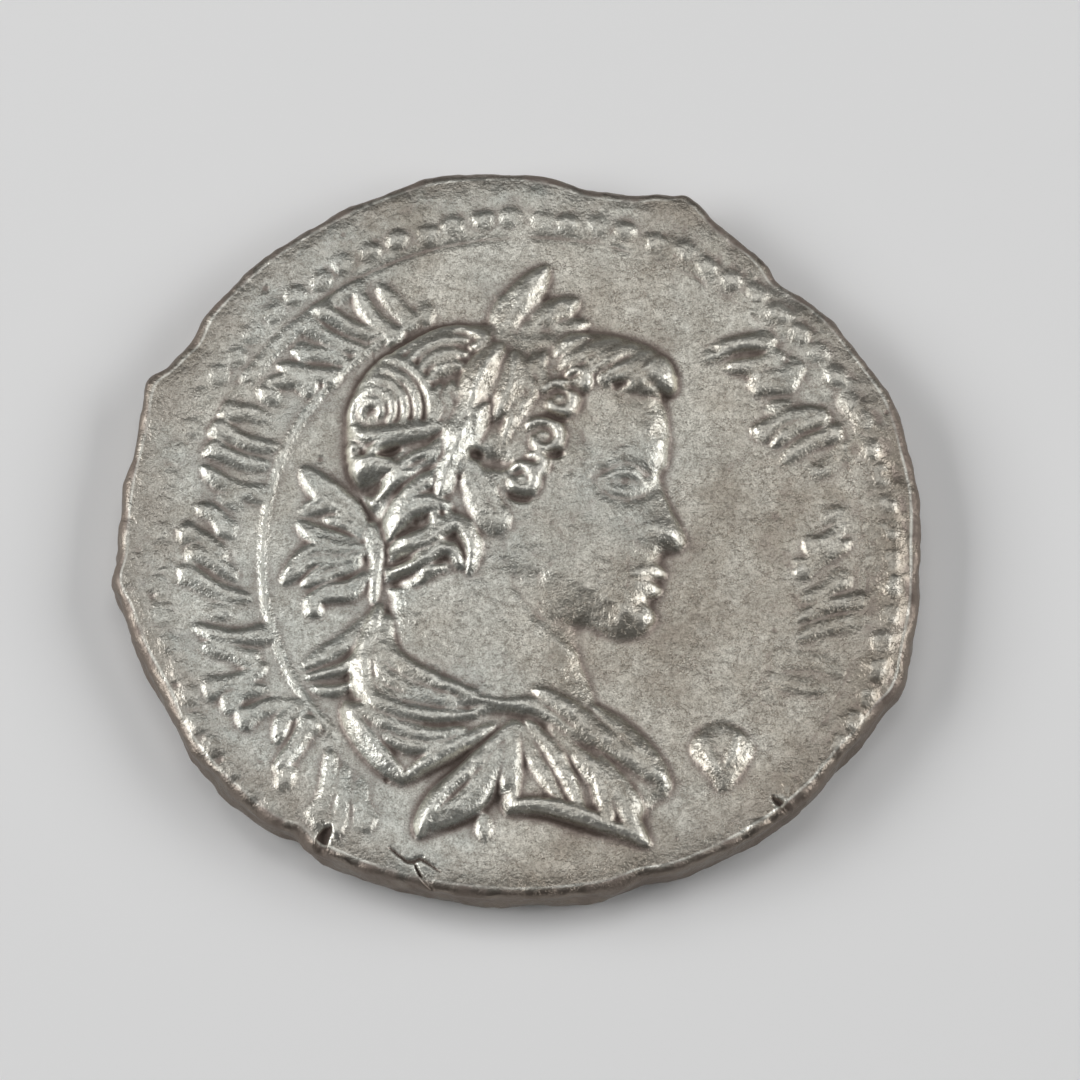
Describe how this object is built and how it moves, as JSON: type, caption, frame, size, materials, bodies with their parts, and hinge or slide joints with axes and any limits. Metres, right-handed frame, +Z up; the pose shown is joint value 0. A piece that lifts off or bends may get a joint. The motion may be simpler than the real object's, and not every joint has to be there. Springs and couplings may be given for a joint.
{
  "type": "silver denarius coin",
  "caption": "Ancient struck silver coin with a ragged edge: a laureate draped bust in a beaded border, and a worn standing figure on the reverse.",
  "frame": {"origin": "under the middle of the flan's box, on the surface that the coin lies on", "axes": "+Z up out of the bust side, +X the way the bust looks, +Y towards the top of its head"},
  "size_m": [0.019, 0.0182, 0.002],
  "materials": {
    "silver": "worn struck silver with brown-black toning in the recesses and a fine grainy surface"
  },
  "bodies": {
    "root": {"denarius_coin": "silver"}
  },
  "joints": []
}
